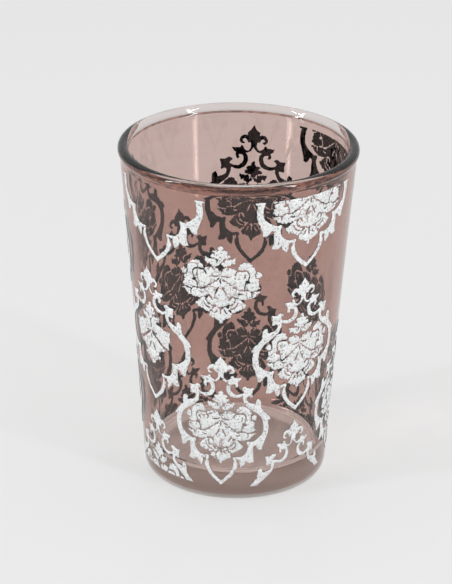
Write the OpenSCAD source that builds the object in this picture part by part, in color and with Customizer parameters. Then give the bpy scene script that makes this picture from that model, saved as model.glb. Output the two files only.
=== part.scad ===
// Tea glass: a plain tapered tumbler with a thick base and a fire-polished rim,
// a thin rose lustre coat on the outside of its wall, and a fired silver damask
// of framed bouquets. The origin is the middle of the face that it stands on,
// and the front of the glass faces -Y.

/* [Glass] */
// Height from the foot to the top of the rim
glass_h = 88.4; // [80:0.2:98]
// Outside diameter over the rim bead
rim_d = 60; // [59:0.1:64]
// Outside diameter of the wall where it runs into the rim bead
wall_top_d = 58.8; // [54:0.1:59.6]
// Outside diameter of the wall where it runs into the foot
wall_foot_d = 46.9; // [42:0.1:52]
// How far the wall is drawn in at half height
waist = 0.3; // [0:0.05:0.6]
// Thickness of the wall
wall_t = 2.1; // [1.7:0.1:2.8]
// Thickness of the solid base
base_t = 6.4; // [5:0.1:9]
// Radius of the corner between the inside of the wall and the floor
floor_corner_r = 4; // [2:0.1:6]
// Radius of the rounded heel round the foot
heel_r = 1.6; // [1:0.1:2.4]
// Width of the flat ring that the glass stands on
foot_ring_w = 3; // [2:0.1:4.5]
// Depth of the domed hollow under the base
hollow_h = 0.9; // [0.5:0.1:1.5]

/* [Lustre coat] */
// Thickness of the coat
coat_t = 0.1; // [0.08:0.01:0.15]
// Bare glass between the heel and the coat
coat_heel_gap = 0.2; // [0.1:0.1:0.8]
// Bare glass between the coat and the rim bead
coat_rim_gap = 0.3; // [0.1:0.1:0.8]

/* [Silver print] */
// Thickness of the silver
silver_t = 0.12; // [0.08:0.01:0.2]
// Height of the lower edge of the print above the edge of the coat
print_foot_gap = 2.4; // [0.6:0.1:3]
// Height of the upper edge of the print below the edge of the coat
print_rim_gap = 1.7; // [0.6:0.1:3]
// Number of columns of medallions round the glass
columns = 8; // [6:2:10]
// Height from one medallion to the next one above it in a column
repeat_h = 40.2; // [38:0.1:44]
// Height of the toe of the lower medallions above the foot
lower_toe_h = 5.3; // [4:0.1:6]
// How much higher the medallions of the next column stand
column_step_h = 19.8; // [18:0.1:22]
// Height of the upper medallions' buds below the upper edge of the print
bud_gap = 1.6; // [0.5:0.01:3]
// Direction of the first column, from the front of the glass round to its right
first_column_a = -8.5; // [-20:0.5:20]
// How far the column before the last has slipped back round the glass
column_slip_a = 5.5; // [0:0.5:6]
// How far the top medallions beside the second column have slipped towards it
top_slip_a = 9; // [0:0.5:12]

/* [Hidden] */
$fn = 180;
// Straight runs in the drawn-in side of the wall, and in a quarter turn
wall_runs = 4;
corner_runs = 8;
// Straight runs from one point of a motif to the next
curve_runs = 1;

// The rim bead spans from the inside of the wall out to the rim. Under a rim that is
// narrower than the wall, the wall is drawn in to it at 45 degrees.
rim_r = rim_d / 2;
bead_out = max(0, rim_r - wall_top_d / 2);
draw_in = max(0, wall_top_d / 2 - rim_r);
bead_r = (bead_out + wall_t) / 2;
bead_mid_r = rim_r - bead_r;
bead_mid_z = glass_h - bead_r;
bead_foot_a = -acos((bead_r - bead_out) / bead_r);
wall_top_z = bead_mid_z + bead_r * sin(bead_foot_a) - draw_in;
coat_foot_z = heel_r + coat_heel_gap;
coat_top_z = wall_top_z - coat_rim_gap;
print_foot_z = coat_foot_z + print_foot_gap;
print_top_z = coat_top_z - print_rim_gap;

// Outside radius of the bare glass wall, drawn as a few straight runs
function curve_r(s) = (wall_foot_d + (wall_top_d - wall_foot_d) * s) / 2 - 4 * waist * s * (1 - s);
function run_z(i) = wall_top_z * i / wall_runs;
function run_r(i) = curve_r(i / wall_runs);
function wall_r(z) =
    let (i = max(0, min(wall_runs - 1, floor(z / wall_top_z * wall_runs))))
    run_r(i) + (run_r(i + 1) - run_r(i)) * (z - run_z(i)) / (run_z(i + 1) - run_z(i));
// Points of the wall from one height up to another, set off outward by a distance
function wall_line(z0, z1, out) = concat(
    [[wall_r(z0) + out, z0]],
    [for (i = [1:wall_runs - 1]) if (run_z(i) > z0 && run_z(i) < z1) [run_r(i) + out, run_z(i)]],
    [[wall_r(z1) + out, z1]]);
// Points along an arc, with or without its first one, and a line from its end to its start
function arc(mid, r, a0, a1, first = 0) = [for (i = [first:corner_runs])
    let (a = a0 + (a1 - a0) * i / corner_runs) mid + r * [cos(a), sin(a)]];
function reversed(points) = [for (i = [len(points) - 1:-1:0]) points[i]];

// A band round the wall between two heights, from one offset to another
module wall_band(z0, z1, inner, outer) {
    rotate_extrude()
        polygon(concat(wall_line(z0, z1, outer), reversed(wall_line(z0, z1, inner))));
}

// The glass: domed hollow, foot ring, heel, wall, rim bead, and the cavity with its rounded floor
module glass_body() {
    heel_mid = [wall_r(heel_r) - heel_r, heel_r];
    ring_in_r = heel_mid[0] - foot_ring_w;
    corner_z = base_t + floor_corner_r;
    corner_mid = [wall_r(corner_z) - wall_t - floor_corner_r, corner_z];
    bead_mid = [bead_mid_r, bead_mid_z];
    dome = [for (i = [0:corner_runs]) let (s = i / corner_runs) [ring_in_r * s, hollow_h * (1 - s * s)]];
    color([0.80, 0.86, 0.83, 0.55])
        rotate_extrude()
            polygon(concat(
                dome,
                arc(heel_mid, heel_r, -90, 0),
                wall_line(2 * heel_r, wall_top_z, 0),
                bead_out > 0 ? arc(bead_mid, bead_r, bead_foot_a / 2, 0) : [[rim_r, bead_mid_z]],
                arc(bead_mid, bead_r, 0, 90, 1),
                arc(bead_mid, bead_r, 90, 180, 1),
                reversed(wall_line(corner_z, bead_mid_z - draw_in, -wall_t)),
                arc(corner_mid, floor_corner_r, 0, -90),
                [[0, base_t]]));
}

// The rose lustre that covers the outside of the wall
module lustre_coat() {
    color([0.72, 0.53, 0.50, 0.6]) wall_band(coat_foot_z, coat_top_z, 0, coat_t);
}

// The damask. A point of a motif is a share of the width of a column, from the
// middle of the motif, and a share of the repeat, from the toe of the frame.
// A third number of 1 marks a corner in an outline, and it is half the width
// of the line in a scroll, as a share of the repeat.
column_a = 360 / columns;
column_w = (wall_foot_d + wall_top_d) / 4 * column_a * PI / 180;

// A curve through named points, from b to c
function bend(a, b, c, d, t) =
    (2 * b + (c - a) * t + (2 * a - 5 * b + 4 * c - d) * t * t + (3 * b - a - 3 * c + d) * t * t * t) / 2;
function flat(p) = [p[0] * column_w, p[1] * repeat_h];
// A closed outline, rounded but for its corners
function outline(shares) = [for (i = [0:len(shares) - 1])
    let (n = len(shares), a = shares[(i + n - 1) % n], b = shares[i], c = shares[(i + 1) % n],
         d = shares[(i + 2) % n], sharp_b = len(b) > 2, sharp_c = len(c) > 2,
         runs = sharp_b && sharp_c ? 1 : curve_runs)
    for (j = [0:runs - 1])
        bend(flat(sharp_b ? b : a), flat(b), flat(c), flat(sharp_c ? c : d), j / runs)];
// The outline of a scroll: a line of changing width along a curve
function scroll(shares) =
    let (n = len(shares), lined = [for (p = shares) [p[0] * column_w, p[1] * repeat_h, p[2] * repeat_h]],
         line = concat([for (i = [0:n - 2]) for (j = [0:curve_runs - 1])
             bend(lined[max(i - 1, 0)], lined[i], lined[i + 1], lined[min(i + 2, n - 1)], j / curve_runs)],
             [lined[n - 1]]),
         last = len(line) - 1,
         across = [for (i = [0:last]) let (v = line[min(i + 1, last)] - line[max(i - 1, 0)])
             [-v[1], v[0]] / norm([v[0], v[1]])])
    concat([for (i = [0:last]) [line[i][0], line[i][1]] + line[i][2] * across[i]],
           [for (i = [last:-1:0]) [line[i][0], line[i][1]] - line[i][2] * across[i]]);
// A whole outline from its right half, whose ends lie on the middle line
function whole(half) = concat(half, [for (p = reversed(half)) if (p[0] > 0)
    len(p) > 2 ? [-p[0], p[1], p[2]] : [-p[0], p[1]]]);

// A flat outline laid round the wall, with its toe at a height, and its mirror image.
// The motifs of a row are drawn at a share of the repeat's height.
module laid(points, toe_z, height_share, side = 1) {
    polygon([for (p = points) let (z = toe_z + p[1] * height_share)
        [side * wall_r(z) * sin(p[0] / column_w * column_a), z]]);
}
module pair(points, toe_z, height_share) {
    laid(points, toe_z, height_share);
    laid(points, toe_z, height_share, -1);
}

// The frame, right half: a bud over scrolls and leaves, down to arms that meet in a toe
bud_shares = [[0, 0.916, 1], [0.018, 0.897], [0.046, 0.879], [0.071, 0.866, 1], [0.073, 0.842, 1],
    [0.048, 0.810], [0.029, 0.785], [0.024, 0.772, 1], [0, 0.770, 1]];
crown_curl_shares = [[0.045, 0.805, 0.012], [0.073, 0.832, 0.013], [0.108, 0.839, 0.0125],
    [0.141, 0.830, 0.010], [0.152, 0.812, 0.008], [0.134, 0.799, 0.006], [0.108, 0.797, 0.003]];
first_scroll_shares = [[0.008, 0.790, 0.012], [0.026, 0.762, 0.0075], [0.047, 0.746, 0.0065],
    [0.075, 0.739, 0.0065], [0.105, 0.743, 0.009], [0.145, 0.750, 0.014]];
first_leaf_shares = [[0.125, 0.772], [0.146, 0.779], [0.163, 0.766, 1], [0.210, 0.765],
    [0.254, 0.767, 1], [0.236, 0.748], [0.200, 0.731, 1], [0.150, 0.724], [0.116, 0.738]];
first_hook_shares = [[0.165, 0.740, 0.014], [0.191, 0.724, 0.010], [0.196, 0.709, 0.0085],
    [0.183, 0.697, 0.006]];
second_scroll_shares = [[0.170, 0.731, 0.011], [0.130, 0.728, 0.011], [0.103, 0.714, 0.0115],
    [0.093, 0.694, 0.0130], [0.099, 0.672, 0.0135], [0.125, 0.649, 0.0135], [0.172, 0.636, 0.0120],
    [0.218, 0.635, 0.0105], [0.255, 0.641, 0.009], [0.295, 0.650, 0.009]];
second_leaf_shares = [[0.256, 0.686, 1], [0.270, 0.697], [0.305, 0.701], [0.340, 0.689], [0.406, 0.691, 1],
    [0.391, 0.655], [0.396, 0.633, 1], [0.382, 0.623, 1], [0.335, 0.628], [0.314, 0.610, 1],
    [0.280, 0.610, 1], [0.285, 0.668]];
side_scroll_shares = [[0.300, 0.640, 0.013], [0.299, 0.618, 0.0118], [0.307, 0.599, 0.0118],
    [0.326, 0.581, 0.013], [0.355, 0.568, 0.0155], [0.395, 0.557, 0.021], [0.445, 0.541, 0.023],
    [0.498, 0.514, 0.0205], [0.540, 0.487, 0.0190], [0.570, 0.452, 0.0175], [0.583, 0.405, 0.0175],
    [0.577, 0.362, 0.0180], [0.553, 0.328, 0.0190], [0.520, 0.306, 0.0190]];
side_leaf_shares = [[0.438, 0.575, 1], [0.448, 0.600], [0.470, 0.607], [0.501, 0.593], [0.506, 0.563],
    [0.513, 0.552, 1], [0.488, 0.530, 1], [0.440, 0.550, 1]];
spur_shares = [[0.570, 0.502, 1], [0.605, 0.483], [0.638, 0.456, 1], [0.598, 0.446, 1], [0.570, 0.460, 1]];
hip_leaf_shares = [[0.592, 0.334, 1], [0.568, 0.292], [0.550, 0.266], [0.547, 0.241, 1], [0.515, 0.236],
    [0.484, 0.247], [0.450, 0.273], [0.405, 0.270, 1], [0.400, 0.300, 1], [0.470, 0.319],
    [0.520, 0.345, 1]];
bracket_shares = [[0.336, 0.299, 1], [0.360, 0.306], [0.385, 0.299], [0.432, 0.308, 1], [0.440, 0.271, 1],
    [0.423, 0.270, 1], [0.423, 0.235], [0.421, 0.190], [0.441, 0.153, 1], [0.390, 0.146], [0.352, 0.153],
    [0.327, 0.167, 1], [0.318, 0.142], [0.292, 0.127], [0.266, 0.115, 1], [0.250, 0.135], [0.244, 0.174, 1],
    [0.226, 0.175, 1], [0.205, 0.160, 1], [0.178, 0.162, 1], [0.160, 0.184], [0.175, 0.197], [0.230, 0.193],
    [0.290, 0.203], [0.335, 0.230], [0.353, 0.268]];
arm_shares = [[0.193, 0.185, 0.010], [0.194, 0.150, 0.0125], [0.185, 0.118, 0.0135], [0.150, 0.078, 0.0122],
    [0.103, 0.048, 0.0118], [0.055, 0.025, 0.0115], [-0.016, -0.006, 0.0115]];

module frame_outline(toe_z, height_share = 1) {
    laid(outline(whole(bud_shares)), toe_z, height_share);
    for (shares = [crown_curl_shares, first_scroll_shares, first_hook_shares, second_scroll_shares,
                   side_scroll_shares, arm_shares])
        pair(scroll(shares), toe_z, height_share);
    for (shares = [first_leaf_shares, second_leaf_shares, side_leaf_shares, spur_shares,
                   hip_leaf_shares, bracket_shares])
        pair(outline(shares), toe_z, height_share);
}

// The bouquet, right half: palmettes, curled leaves and roses parted by thin lines
palmette_shares = [[0, 0.674, 1], [0.024, 0.658], [0.028, 0.638, 1], [0.060, 0.640], [0.086, 0.630, 1],
    [0.052, 0.613, 1], [0.095, 0.611], [0.106, 0.598], [0.070, 0.588], [0.034, 0.579], [0.012, 0.560, 1],
    [0, 0.557, 1]];
curl_leaf_shares = [[0.012, 0.546, 1], [0.028, 0.568], [0.070, 0.580], [0.120, 0.580], [0.168, 0.590, 1],
    [0.160, 0.566], [0.145, 0.551, 1], [0.120, 0.557, 1], [0.100, 0.538], [0.060, 0.532], [0.032, 0.537]];
rose_shares = [[0.022, 0.500, 1], [0.055, 0.521], [0.120, 0.523], [0.192, 0.507, 1], [0.200, 0.530],
    [0.235, 0.556], [0.290, 0.561], [0.350, 0.540], [0.400, 0.492, 1], [0.435, 0.494], [0.458, 0.471],
    [0.424, 0.450, 1], [0.426, 0.415], [0.443, 0.384, 1], [0.395, 0.370], [0.340, 0.367], [0.300, 0.381],
    [0.240, 0.377], [0.200, 0.385], [0.120, 0.413], [0.040, 0.447], [0.018, 0.470]];
rose_slot_shares = [[0.184, 0.509, 0.006], [0.225, 0.506, 0.006], [0.285, 0.507, 0.005],
    [0.314, 0.492, 0.004], [0.322, 0.472, 0.003]];
rose_eye_shares = [[0.280, 0.438, 0.004], [0.303, 0.430, 0.010], [0.330, 0.423, 0.004]];
rose_vein_shares = [[0.152, 0.466, 0.003], [0.168, 0.486, 0.004], [0.195, 0.508, 0.004]];
calyx_shares = [[0, 0.505, 1], [0.010, 0.480], [0.012, 0.455, 1], [0.032, 0.437, 1], [0.105, 0.408],
    [0.180, 0.378], [0.235, 0.366], [0.300, 0.371], [0.345, 0.356], [0.400, 0.361], [0.455, 0.361, 1],
    [0.400, 0.341], [0.375, 0.324], [0.300, 0.312], [0.225, 0.315], [0.170, 0.328], [0.128, 0.330, 1],
    [0.150, 0.317], [0.155, 0.295], [0.115, 0.276], [0.062, 0.268], [0.020, 0.256, 1], [0, 0.264, 1]];
low_leaf_shares = [[0.172, 0.320, 1], [0.215, 0.311], [0.245, 0.294], [0.292, 0.270, 1], [0.255, 0.247],
    [0.200, 0.236], [0.145, 0.219, 1], [0.096, 0.246], [0.100, 0.261], [0.150, 0.276], [0.172, 0.295]];
tail_shares = [[0, 0.142, 1], [0.018, 0.152], [0.022, 0.166, 1], [0.056, 0.170, 1], [0.060, 0.180, 1],
    [0.105, 0.184], [0.131, 0.200], [0.115, 0.222, 1], [0.094, 0.226], [0.083, 0.245], [0.045, 0.257],
    [0.015, 0.243, 1], [0, 0.246, 1]];

module bouquet_outline(toe_z, height_share = 1) {
    for (shares = [palmette_shares, calyx_shares, tail_shares])
        laid(outline(whole(shares)), toe_z, height_share);
    for (shares = [curl_leaf_shares, low_leaf_shares])
        pair(outline(shares), toe_z, height_share);
    difference() {
        pair(outline(rose_shares), toe_z, height_share);
        for (shares = [rose_slot_shares, rose_eye_shares, rose_vein_shares])
            pair(scroll(shares), toe_z, height_share);
    }
}

// The small bouquet of one medallion, right half: leaves over a calyx, without the roses
small_leaf_shares = [[0.012, 0.546, 1], [0.050, 0.544], [0.120, 0.530], [0.190, 0.528, 1],
    [0.240, 0.510, 1], [0.345, 0.511, 1], [0.325, 0.485], [0.330, 0.446, 1], [0.302, 0.425],
    [0.300, 0.386, 1],
    [0.215, 0.402], [0.130, 0.434], [0.022, 0.478], [0.012, 0.500]];
small_calyx_shares = [[0, 0.505, 1], [0.010, 0.480], [0.012, 0.460, 1], [0.100, 0.423], [0.190, 0.390],
    [0.245, 0.371, 1], [0.205, 0.358], [0.175, 0.360, 1], [0.130, 0.332, 1], [0.120, 0.318, 1],
    [0.155, 0.300, 1], [0.120, 0.286], [0.085, 0.285, 1], [0.050, 0.262], [0.020, 0.240, 1], [0, 0.248, 1]];

module small_bouquet_outline(toe_z, height_share = 1) {
    for (shares = [palmette_shares, small_calyx_shares])
        laid(outline(whole(shares)), toe_z, height_share);
    for (shares = [curl_leaf_shares, small_leaf_shares])
        pair(outline(shares), toe_z, height_share);
}

// How far a motif reaches to each side, below its toe and above it
motif_side_share = 0.64;
motif_foot_share = 0.02;
motif_top_share = 0.93;

// A motif raised on the wall at one place: its outline is driven out from inside the glass
module raised(place, z0) {
    start = wall_r(z0) * cos(motif_side_share * column_a) - silver_t;
    end = max(wall_foot_d, wall_top_d) / 2 + coat_t + silver_t;
    rotate([0, 0, first_column_a + place * column_a])
        rotate([90, 0, 0])
            translate([0, 0, start])
                linear_extrude(end - start)
                    children();
}
// A motif at several places round the glass. A place counts the columns from the first.
module silver_row(places, toe_z, height_share = 1) {
    z0 = max(print_foot_z, toe_z - repeat_h * motif_foot_share);
    z1 = min(print_top_z, toe_z + repeat_h * motif_top_share * height_share);
    color([0.90, 0.91, 0.93])
        intersection() {
            wall_band(z0, z1, coat_t, coat_t + silver_t);
            union() for (place = places) raised(place, z0) children();
        }
}

// The print is laid on by hand: a few medallions have slipped round, and a few
// lack their frame, their bouquet or both where the sheets of the print meet
last = columns - 1;
base_toe_z = lower_toe_h + column_step_h - repeat_h;
middle_toe_z = lower_toe_h + column_step_h;
upper_toe_z = lower_toe_h + repeat_h;
top_toe_z = middle_toe_z + repeat_h;
// The upper medallions fill the height from their toe to just below the edge of the print,
// and of the top ones, which that edge cuts off, the same share always shows
top_shown_share = 0.4634;
upper_share = (print_top_z - bud_gap - upper_toe_z) / (bud_shares[0][1] * repeat_h);
top_share = (print_top_z - top_toe_z) / (top_shown_share * repeat_h);
even_places = [for (i = [0:2:last]) i == last - 1 ? i - column_slip_a / column_a : i];
odd_places = [for (i = [1:2:last]) i];
top_places = [1, 3 - top_slip_a / column_a, last + top_slip_a / column_a];

module base_row_frames() silver_row(odd_places, base_toe_z) frame_outline(base_toe_z);
module base_row_bouquets()
    silver_row([for (i = odd_places) if (i != 1) i], base_toe_z) bouquet_outline(base_toe_z);
module lower_row_frames() silver_row(even_places, lower_toe_h) frame_outline(lower_toe_h);
module lower_row_bouquets() silver_row(even_places, lower_toe_h) bouquet_outline(lower_toe_h);
module middle_row_frames()
    silver_row([for (i = odd_places) if (i != 3) i], middle_toe_z) frame_outline(middle_toe_z);
module middle_row_bouquets() {
    silver_row([for (i = odd_places) if (i != last) i], middle_toe_z) bouquet_outline(middle_toe_z);
    silver_row([last], middle_toe_z) small_bouquet_outline(middle_toe_z);
}
module upper_row_frames()
    silver_row([for (i = even_places) if (i > 2) i], upper_toe_z, upper_share)
        frame_outline(upper_toe_z, upper_share);
module upper_row_bouquets()
    silver_row([for (i = even_places) if (i != 2) i], upper_toe_z, upper_share)
        bouquet_outline(upper_toe_z, upper_share);
module top_row_frames()
    silver_row(top_places, top_toe_z, top_share) frame_outline(top_toe_z, top_share);
module top_row_bouquets()
    silver_row([for (i = top_places) if (i < last) i], top_toe_z, top_share)
        bouquet_outline(top_toe_z, top_share);

glass_body();
lustre_coat();
base_row_frames();
base_row_bouquets();
lower_row_frames();
lower_row_bouquets();
middle_row_frames();
middle_row_bouquets();
upper_row_frames();
upper_row_bouquets();
top_row_frames();
top_row_bouquets();
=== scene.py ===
import math
import bpy
from mathutils import Matrix, Vector, geometry, noise


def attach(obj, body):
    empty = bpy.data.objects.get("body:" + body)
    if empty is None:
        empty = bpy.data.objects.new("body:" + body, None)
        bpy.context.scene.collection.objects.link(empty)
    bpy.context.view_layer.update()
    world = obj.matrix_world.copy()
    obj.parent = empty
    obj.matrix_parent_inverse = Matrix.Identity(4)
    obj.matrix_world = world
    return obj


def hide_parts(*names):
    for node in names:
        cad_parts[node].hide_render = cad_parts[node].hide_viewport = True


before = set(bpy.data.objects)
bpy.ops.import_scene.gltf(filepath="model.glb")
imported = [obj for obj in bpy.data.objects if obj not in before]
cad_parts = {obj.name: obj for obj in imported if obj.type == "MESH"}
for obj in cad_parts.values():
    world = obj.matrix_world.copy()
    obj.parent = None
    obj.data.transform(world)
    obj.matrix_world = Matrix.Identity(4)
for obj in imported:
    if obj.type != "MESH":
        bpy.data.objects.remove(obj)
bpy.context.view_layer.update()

# Units: lengths below are millimetres, angles degrees and heights start at the foot
MM = 0.001
TINY = 1e-6

# Glass
GLASS_H = 88.4
RIM_R = 30.0
WALL_TOP_R = 29.4
WALL_FOOT_R = 23.45
WAIST = 0.3
WALL_T = 2.1
BASE_T = 6.4
FLOOR_CORNER_R = 4.0
FLOOR_CORNER_TOP_A = -6
INSIDE_FLOOR_SHARES = (0.7, 0.35, 0)
HEEL_R = 1.6
FOOT_RING_W = 3.0
HOLLOW_H = 0.9
COAT_T = 0.1
COAT_FOOT_Z = 1.8
COAT_RIM_GAP = 0.3
BEAD_R = (RIM_R - WALL_TOP_R + WALL_T) / 2
BEAD_MID = (RIM_R - BEAD_R, GLASS_H - BEAD_R)
BEAD_FOOT_A = -math.degrees(math.acos((WALL_TOP_R - BEAD_MID[0]) / BEAD_R))
BEAD_START_SHARE = 0.8
BEAD_START_A = BEAD_START_SHARE * BEAD_FOOT_A
BEAD_INSIDE_GAP = 0.4
WALL_TOP_Z = BEAD_MID[1] + BEAD_R * math.sin(math.radians(BEAD_FOOT_A))
COAT_TOP_Z = WALL_TOP_Z - COAT_RIM_GAP

# How finely the glass is turned
TURN_STEPS = 256
HOLLOW_STEPS = 24
HEEL_STEPS = 14
COAT_STEPS = 60
BEAD_STEPS = 40
INSIDE_STEPS = 56
CORNER_STEPS = 16

# Lustre, as a mark on the faces: 0 is bare glass, WALL_LUSTRE is rose and 1 is dark and burnt; on the
# bead's front that dark burnt band is painted shade
WALL_LUSTRE = 0.6
# The bead carries painted shade: a dark burnt band on the camera's side and a paler veil at the back,
# blended round the sides
VEIL_LUSTRE = 0.36
VEIL_FOOT_A = -38
BEAD_LUSTRE_TOP_A = 52
BEAD_LUSTRE_FADE_A = 12
PAINTED_SIDE_BLEND = 1.5

# Silver print
COLUMNS = 8
COLUMN_A = 360 / COLUMNS
COLUMN_W = (WALL_FOOT_R + WALL_TOP_R) / 2 * math.radians(COLUMN_A)
REPEAT_H = 40.2
LOWER_TOE_Z = 5.3
COLUMN_STEP_H = 19.8
FIRST_COLUMN_A = -8.5
COLUMN_SLIP_A = 5.5
TOP_SLIP_A = 9.0
FRAMELESS_PLACE = 3
PRINT_FOOT_Z = 4.2
PRINT_TOP_Z = 83.93
MOTIF_SIDE_SHARE = 0.68
MOTIF_FOOT_SHARE = 0.02
MOTIF_TOP_SHARE = 0.93
SILVER_PROUD = 0.10
SILVER_EDGE_PROUD = 0.07
SILVER_SUNK = 0.04
UNDERPRINT_W = 0.04
OUTER_SLOT = 0
UNDER_SLOT = 1

# How finely the print is drawn
CURVE_RUNS = 3
EDGE_STEP = 0.18
GRID_STEP = 1.6
GRID_SHIFT_SHARES = (0.31, 0.43)
JOIN_GAP = 1e-4
INSIDE_ONLY = 1

# Wear of the print's edges: the seed, without which Blender's noise starts from the clock, waves
# a millimetre, heights, and how far the places and the tries lie apart in the noise
NOISE_SEED = 7
COARSE_WAVES = 0.9
FINE_WAVES = 2.7
WAVE_H = 0.12
LOBE_STEP = 0.95
LOBE_DRIFT = 2.5
LOBE_MIDDLE = 0.55
LEAF_LOBE_H = 0.32
FRAME_LOBE_H = 0.07
PLACE_SEED_STEP = 100
FINE_SEED_STEP = 50
RETRY_SEED_STEP = 0.37
WEAR_TRIES = 8
AREA_LEEWAY = 0.12

# Patterns
EVENLY = (1, 1, 1)
BLACK = (0.0, 0.0, 0.0)
WHITE = (1.0, 1.0, 1.0)

# Glass material. Its colours are what light keeps over two passes, and densities are per metre
GLASS_IOR = 1.51
MOTTLE_NOISE = (90, 3, (1, 1, 5))
CLEAR_COLOURS = [(0.3, (0.985, 0.99, 0.985)), (0.7, WHITE)]
ROSE_COLOURS = [(0.3, (0.475, 0.27, 0.228)), (0.7, (0.44, 0.24, 0.20))]
# Dark burnt colours: the lustre's burnt edge, and the painted shade on the bead's front
BURNT_AND_SHADE_NOISE = (420, 3, (1, 1, 2.5))
BURNT_AND_SHADE_COLOURS = [(0.44, (0.07, 0.025, 0.02)), (0.56, (0.28, 0.09, 0.055))]
CLEAR_PASS = (0.98, 0.98, 0.98)
ROSE_PASS = (0.97, 0.93, 0.92)
DEPTH_COLOUR = (0.42, 0.55, 0.48)
DEPTH_DENSITY = 8
UNDERSIDE_ROUGHNESS = 0.3
SWELL_NOISE = (120, 1, EVENLY)
SWELL_STRENGTH = 0.12
SWELL_H = 0.06

# Silver material
SILVER_METALLIC = 0.2
TONE_NOISE = (420, 4, EVENLY)
TONES = [(0.3, (0.81, 0.84, 0.84)), (0.7, (0.92, 0.925, 0.93))]
SPECK_NOISE = (2600, 3, EVENLY)
SPECKS = [(0.32, (0.12, 0.09, 0.09)), (0.40, (0.86, 0.84, 0.84)), (0.49, WHITE)]
RUB_NOISE = (700, 2, (1, 1, 4))
RUBS = [(0.29, (0.45, 0.40, 0.40)), (0.33, WHITE)]
HAIRLINE_NOISE = (3000, 2, (1, 1, 0.2))
HAIRLINES = [(0.27, (0.35, 0.31, 0.31)), (0.33, WHITE)]
CELL_WAVES = 260
CELL_WAVER = 1.6
GAP_COLOUR = (0.52, 0.40, 0.38)
GAP_MIDDLE_SHARE = 0.4
FRAME_GAP_SHARE = 0.01
LEAF_GAP_SHARE = 0.05
PATCH_NOISE = (170, 1, EVENLY)
PATCHES = [(0.38, BLACK), (0.47, WHITE)]
SILVER_ROUGH_NOISE = (900, 3, EVENLY)
SILVER_ROUGHNESS = [(0.3, (0.34,) * 3), (0.7, (0.52,) * 3)]
GRAIN_NOISE = (1500, 3, EVENLY)
GRAIN_STRENGTH = 0.35
GRAIN_H = 0.05

# Dark side of the print
UNDERPRINT_NOISE = (500, 2, EVENLY)
UNDERPRINT_COLOURS = [(0.3, (0.004, 0.003, 0.004)), (0.7, (0.010, 0.007, 0.009))]
UNDERPRINT_ROUGHNESS = 0.6

# Floor
FLOOR_HALF_W = 3000
FLOOR_NOISE = (3, 2, EVENLY)
FLOOR_COLOURS = [(0.4, (0.895,) * 3), (0.6, (0.91,) * 3)]
FLOOR_ROUGHNESS = 0.3
FLOOR_SPECULAR = 0.2
FLOOR_LEVEL = 0.79
FLOOR_LIT_SHARE = 0.55
# Painted shade: the floor's even glow is gone inside this radius and grows to full at the foot's edge
PAINTED_SHADE_R = WALL_FOOT_R / 2

# Camera, and its place from the origin of the glass along its own axes
CAMERA_ELEVATION = 24.58
CAMERA_ROLL = 0.60
CAMERA_RIGHT = -2.29
CAMERA_UP = 43.25
CAMERA_BACK = 591.9
CAMERA_LENS = 138.36
CAMERA_NEAR = 10

# Soft boxes. Azimuth 0 is the camera's side, and it runs round to the right
STRIP_AZIMUTHS = {"left_strip": -68, "right_strip": 52}
STRIP_ELEVATION = 28
STRIP_DISTANCE = 1400
STRIP_W = 95
STRIP_H = 930
STRIP_RADIANCE = 20.0
STRIP_AIM_Z = 45

# Low strips: name, place to the right and to the back, width and radiance
LOW_STRIPS = [("low_right_strip", 94, -75, 9, 0.68), ("low_left_strip", -105, -58, 11, 0.63)]
LOW_STRIP_FOOT_Z = 34
LOW_STRIP_TOP_Z = 60
LOW_STRIP_AIM = (0, 22, 76)
LOW_STRIP_SPREAD = 60

# Studio, by how far a direction rises
STUDIO_LEVELS = [(0.0, (0.74,) * 3), (0.4, (0.78,) * 3), (0.9, WHITE)]
STUDIO_STRENGTH = 0.817


def wall_r(z):
    """Outside radius of the bare wall at a height."""
    s = z / WALL_TOP_Z
    return WALL_FOOT_R + (WALL_TOP_R - WALL_FOOT_R) * s - 4 * WAIST * s * (1 - s)


def arc(mid, r, a0, a1, steps):
    """Points on an arc, from one angle to another."""
    turns = [math.radians(a0 + (a1 - a0) * i / steps) for i in range(steps + 1)]
    return [(mid[0] + r * math.cos(a), mid[1] + r * math.sin(a)) for a in turns]


def wall_points(z0, z1, out, steps):
    """Points up the wall from one height to another, set off outward."""
    heights = [z0 + (z1 - z0) * i / steps for i in range(steps + 1)]
    return [(wall_r(z) + out, z) for z in heights]


def bead_lustre_and_painted_shade(a):
    """The lustre at an angle on the bead, back and front: a burnt edge and a pale veil at the back, and
    at the front a dark band of painted shade.
    """
    band = min(1.0, max(0.0, (BEAD_LUSTRE_TOP_A - a) / BEAD_LUSTRE_FADE_A))
    return (1.0 if a < VEIL_FOOT_A else VEIL_LUSTRE * band, band)


def painted_front_share(a):
    """How far a direction lies to the front, where the bead's painted shade goes: 0 at the back, 1 at the
    front, and blended at the sides.
    """
    return min(1.0, max(0.0, 0.5 - PAINTED_SIDE_BLEND * math.sin(a)))


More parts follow.
